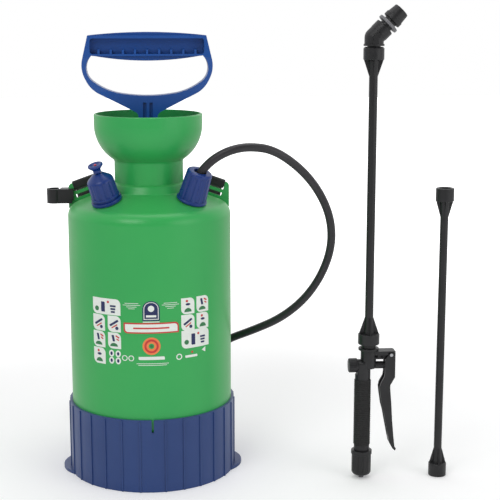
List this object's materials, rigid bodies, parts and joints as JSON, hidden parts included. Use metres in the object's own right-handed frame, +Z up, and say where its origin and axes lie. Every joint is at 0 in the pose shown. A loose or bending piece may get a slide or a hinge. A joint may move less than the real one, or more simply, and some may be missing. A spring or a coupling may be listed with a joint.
{
  "type": "pressure sprayer",
  "caption": "Hand-pumped pressure sprayer: green tank with filling funnel, blue base and D-handle pump, hose, strap, trigger wand with angled nozzle and an extension tube.",
  "frame": {"origin": "on the floor, on the axis of the tank", "axes": "+Z up along the tank and the pump rod, -Y the front that the caps lean towards, +X the side of the wand"},
  "size_m": [0.4352, 0.3418, 0.5111],
  "materials": {
    "green_shell": "translucent green polyethylene, satin",
    "blue_base": "moulded blue polypropylene",
    "blue_handle": "moulded blue polypropylene",
    "blue_cap": "moulded blue polypropylene",
    "black_plastic": "black glass-filled nylon",
    "grey_plastic": "grey plastic",
    "white_plastic": "natural acetal",
    "red_plastic": "red plastic",
    "rubber": "black seal rubber",
    "hose": "smooth black hose",
    "steel": "stainless steel wire",
    "webbing": "woven black webbing"
  },
  "bodies": {
    "tank": {"tank_shell": "green_shell", "base_skirt": "blue_base", "relief_seat": "white_plastic", "outlet_gasket": "rubber", "outlet_tail": "black_plastic", "dip_tube": "white_plastic", "strainer": "black_plastic", "hose": "hose", "hose_coil": "hose", "strap": "webbing", "strap_slider": "black_plastic", "wand_clip": "black_plastic"},
    "pump_body": {"pump_collar": "blue_handle", "neck_gasket": "rubber", "rod_guide": "white_plastic", "pump_barrel": "white_plastic", "check_valve": "rubber"},
    "piston_set": {"piston": "white_plastic", "piston_cup": "rubber"},
    "handle_set": {"pump_handle": "blue_handle", "handle_pin": "steel", "pump_rod": "blue_handle", "rod_clip": "steel"},
    "relief_cap_body": {"relief_cap": "blue_cap", "relief_spring": "steel"},
    "relief_pull": {"relief_stem": "blue_cap", "relief_seal": "rubber", "relief_knob": "blue_cap", "relief_indicator": "red_plastic"},
    "outlet_nut_body": {"outlet_nut": "blue_cap"},
    "wand": {"valve_body": "black_plastic", "grip_sleeve": "rubber", "inlet_tail": "grey_plastic", "inlet_gasket": "rubber", "rod_seal": "rubber", "trigger_pin": "steel", "valve_spring": "steel"},
    "trigger_body": {"trigger": "black_plastic"},
    "push_rod_set": {"push_rod": "steel", "valve_plug": "rubber"},
    "valve_cap_body": {"valve_cap": "black_plastic"},
    "inlet_nut_body": {"inlet_nut": "black_plastic"},
    "lance": {"lance_tube": "black_plastic", "lance_oring": "rubber"},
    "elbow": {"nozzle_elbow": "black_plastic", "nozzle_ring": "grey_plastic", "swirl_core": "white_plastic"},
    "nozzle_cap_body": {"nozzle_cap": "black_plastic"},
    "extension": {"extension_tube": "black_plastic", "extension_oring": "rubber"}
  },
  "joints": [
    {"name": "pump_unscrew", "type": "hinge", "parent": "tank", "child": "pump_body", "pos_m": [0, 0, 0.35], "axis": [0, 0, 1], "continuous": true},
    {"name": "pump_stroke", "type": "slide", "parent": "pump_body", "child": "piston_set", "axis": [0, 0, 1], "range_m": [0, 0.2]},
    {"name": "handle_turn", "type": "hinge", "parent": "piston_set", "child": "handle_set", "pos_m": [0, 0, 0.11], "axis": [0, 0, 1], "continuous": true},
    {"name": "relief_cap_turn", "type": "hinge", "parent": "tank", "child": "relief_cap_body", "pos_m": [-0.04706, -0.04452, 0.31595], "axis": [-0.2663, -0.2519, 0.9304], "continuous": true},
    {"name": "relief_lift", "type": "slide", "parent": "relief_cap_body", "child": "relief_pull", "axis": [-0.2663, -0.2519, 0.9304], "range_m": [0, 0.004], "stiffness_N_per_m": 300, "springref_m": -0.004, "deforming": ["relief_spring"]},
    {"name": "outlet_nut_turn", "type": "hinge", "parent": "tank", "child": "outlet_nut_body", "pos_m": [0.04706, -0.04452, 0.31595], "axis": [0.2663, -0.2519, 0.9304], "continuous": true},
    {"name": "wand_lift", "type": "slide", "parent": "tank", "child": "wand", "axis": [0, 0, 1], "range_m": [0, 0.3]},
    {"name": "trigger_pull", "type": "hinge", "parent": "wand", "child": "trigger_body", "pos_m": [0.2581, -0.0625, 0.1394], "axis": [0, 1, 0], "range_deg": [0, 11.5], "stiffness_Nm_per_rad": 0.4, "springref_deg": -14.32},
    {"name": "push_rod_slide", "type": "slide", "parent": "wand", "child": "push_rod_set", "axis": [-1, 0, 0], "range_m": [0, 0.0024], "deforming": ["valve_spring"]},
    {"name": "valve_cap_turn", "type": "hinge", "parent": "wand", "child": "valve_cap_body", "pos_m": [0.218, -0.0625, 0.1273], "axis": [-1, 0, 0], "continuous": true},
    {"name": "inlet_nut_turn", "type": "hinge", "parent": "wand", "child": "inlet_nut_body", "pos_m": [0.228, -0.0625, 0.015], "axis": [0, 0, 1], "continuous": true},
    {"name": "lance_turn", "type": "hinge", "parent": "wand", "child": "lance", "pos_m": [0.2339, -0.0625, 0.155], "axis": [0, 0, 1], "continuous": true},
    {"name": "elbow_turn", "type": "hinge", "parent": "lance", "child": "elbow", "pos_m": [0.2339, -0.0625, 0.463], "axis": [0, 0, 1], "continuous": true},
    {"name": "nozzle_cap_turn", "type": "hinge", "parent": "elbow", "child": "nozzle_cap_body", "pos_m": [0.2553, -0.0625, 0.49863], "axis": [0.7133, 0, 0.7009], "continuous": true},
    {"name": "extension_lift", "type": "slide", "parent": "tank", "child": "extension", "axis": [0, 0, 1], "range_m": [0, 0.3]}
  ],
  "couplings": [
    {"joint": "push_rod_slide", "follows": "trigger_pull", "m_per_rad": 0.01176}
  ]
}
